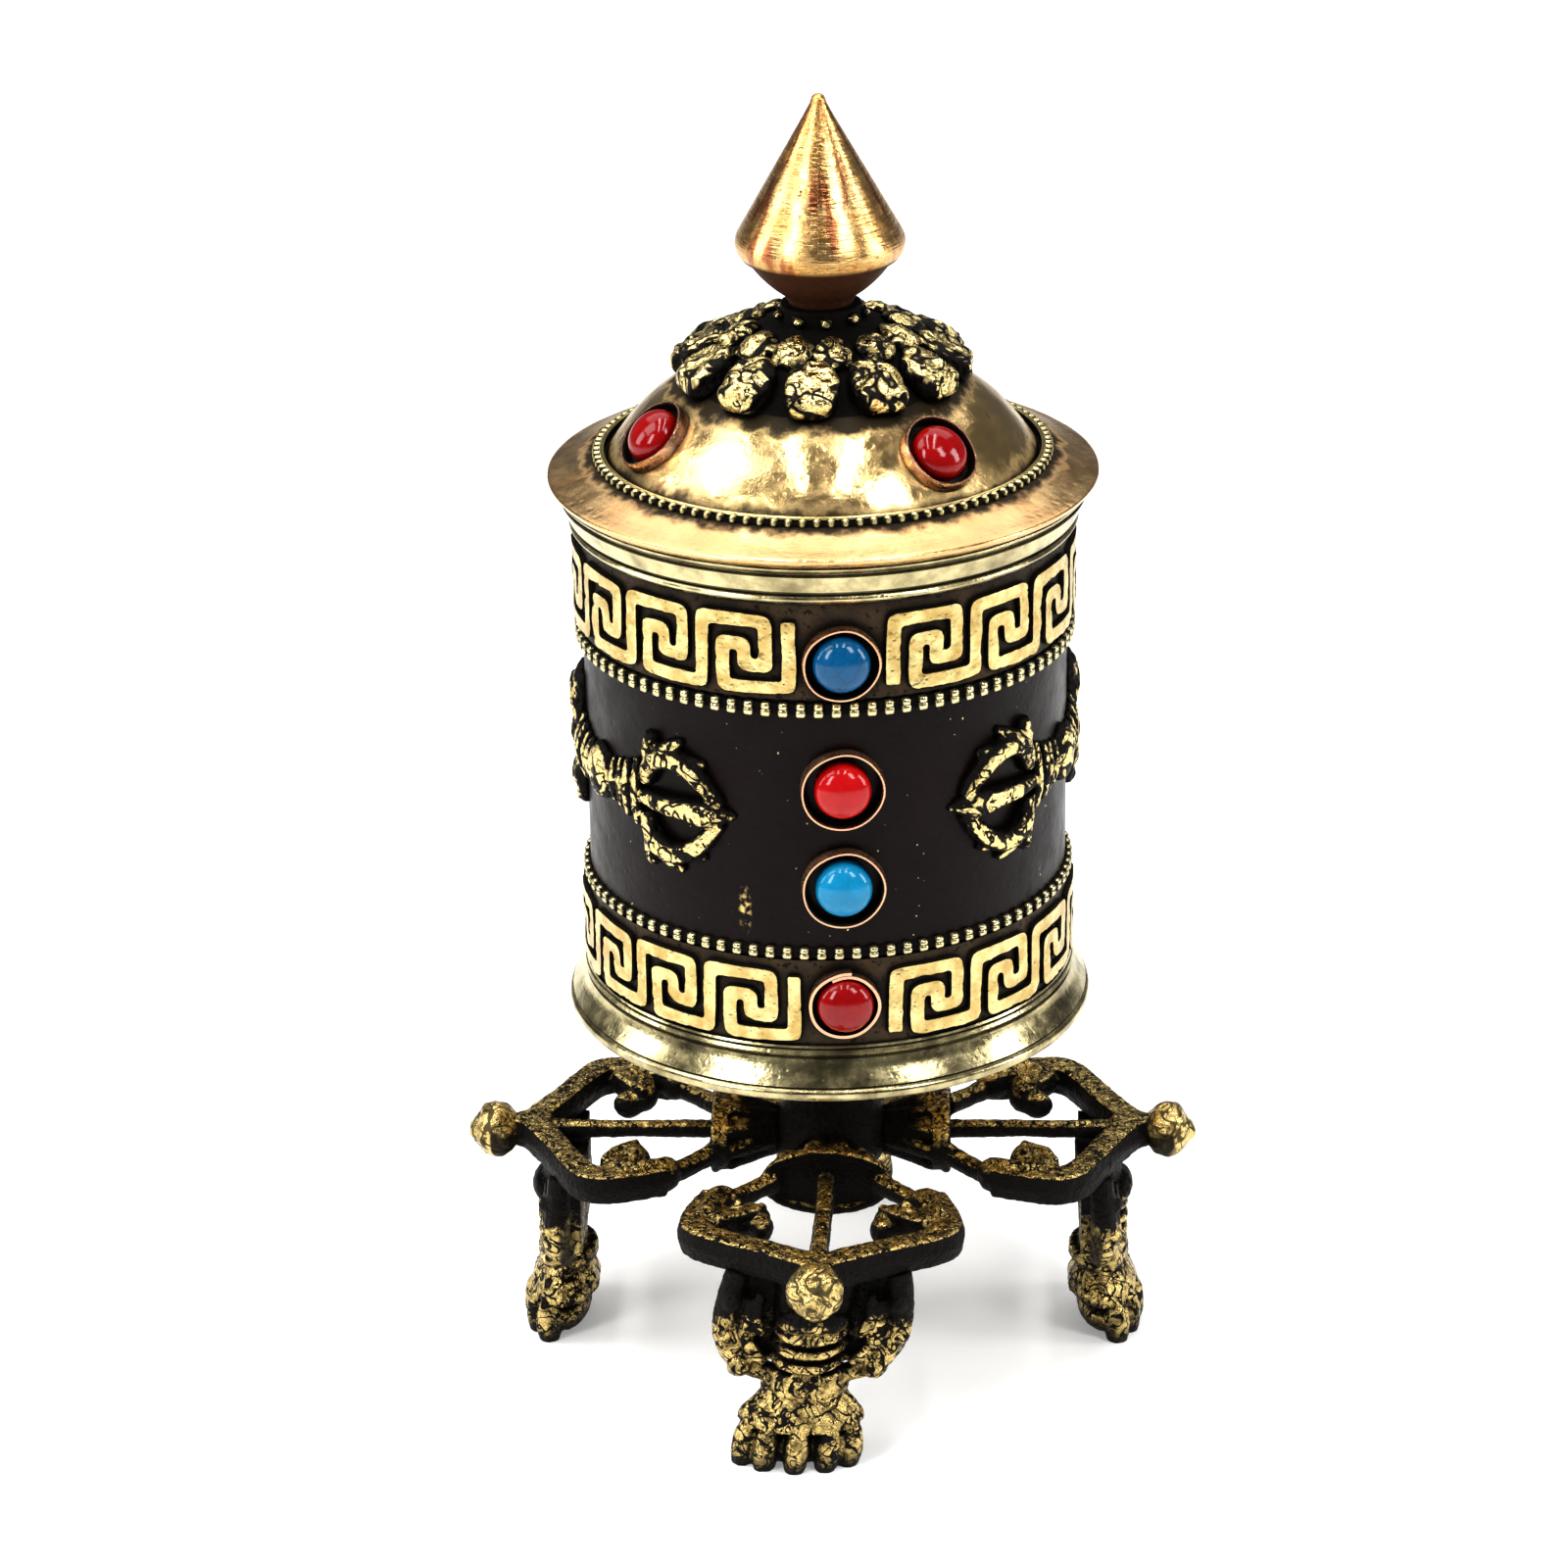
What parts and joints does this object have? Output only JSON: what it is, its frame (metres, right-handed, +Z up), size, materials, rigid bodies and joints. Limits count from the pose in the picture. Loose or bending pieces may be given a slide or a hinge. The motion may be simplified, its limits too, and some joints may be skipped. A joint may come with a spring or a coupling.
{
  "type": "prayer wheel",
  "caption": "Table-top prayer wheel: a banded drum with domed lid and pointed knob, turning on a crossed-vajra stand with clawed legs.",
  "frame": {"origin": "on the table, under the spindle, at the middle of the four feet", "axes": "+Z up along the spindle; -Y towards the front arm; +X towards the right arm"},
  "size_m": [0.0778, 0.0778, 0.1357],
  "materials": {
    "cast_brass": "rough antique casting with dark recesses",
    "spindle_steel": "plain drawn rod",
    "dark_shell": "satin dark patina",
    "pale_brass": "polished pale brass",
    "band_brass": "bright relief on a blackened ground",
    "wire_brass": "polished beads with black gaps",
    "applique_brass": "bright cast relief with dark recesses",
    "collar_copper": "thin copper strip",
    "blue_stone": "polished cabochon",
    "light_blue_stone": "polished cabochon",
    "red_stone": "polished cabochon",
    "dark_red_stone": "polished cabochon",
    "paper": "rolled sheet",
    "tie": "thread",
    "brim_copper": "polished copper colour",
    "dome_bronze": "polished, mottled patina",
    "finial_copper": "polished, turned",
    "bush_brass": "plain turned"
  },
  "bodies": {
    "stand": {"arm_back": "cast_brass", "arm_front": "cast_brass", "arm_left": "cast_brass", "arm_right": "cast_brass", "axle_nut": "spindle_steel", "axle_rod": "spindle_steel", "leg_back": "cast_brass", "leg_front": "cast_brass", "leg_left": "cast_brass", "leg_right": "cast_brass", "stand_hub": "cast_brass", "thrust_washer": "spindle_steel"},
    "wheel": {"base_moulding": "pale_brass", "bezels_coral": "collar_copper", "bezels_lower": "collar_copper", "bezels_turquoise": "collar_copper", "bezels_upper": "collar_copper", "coral_lower_1": "dark_red_stone", "coral_lower_2": "dark_red_stone", "coral_lower_3": "dark_red_stone", "coral_middle_1": "red_stone", "coral_middle_2": "red_stone", "coral_middle_3": "red_stone", "core_tube": "bush_brass", "drum_floor": "dark_shell", "drum_shell": "dark_shell", "lower_band": "band_brass", "lower_bead_wire": "wire_brass", "lower_bush": "bush_brass", "prayer_scroll": "paper", "scroll_tie": "tie", "top_moulding": "pale_brass", "turquoise_middle_1": "light_blue_stone", "turquoise_middle_2": "light_blue_stone", "turquoise_middle_3": "light_blue_stone", "turquoise_upper_1": "blue_stone", "turquoise_upper_2": "blue_stone", "turquoise_upper_3": "blue_stone", "upper_band": "band_brass", "upper_bead_wire": "wire_brass", "vajra_1": "applique_brass", "vajra_2": "applique_brass", "vajra_3": "applique_brass"},
    "lid": {"bezels_lid": "collar_copper", "coral_lid_1": "dark_red_stone", "coral_lid_2": "dark_red_stone", "coral_lid_3": "dark_red_stone", "finial": "finial_copper", "finial_stud": "bush_brass", "lid_bead_wire": "wire_brass", "lid_bush": "bush_brass", "lid_dome": "dome_bronze", "lid_plate": "brim_copper", "lotus_cap": "applique_brass"}
  },
  "joints": [
    {"name": "wheel_spin", "type": "hinge", "parent": "stand", "child": "wheel", "pos_m": [0, 0, 0.038], "axis": [0, 0, 1], "continuous": true},
    {"name": "lid_lift", "type": "slide", "parent": "wheel", "child": "lid", "axis": [0, 0, 1], "range_m": [0, 0.04]}
  ]
}
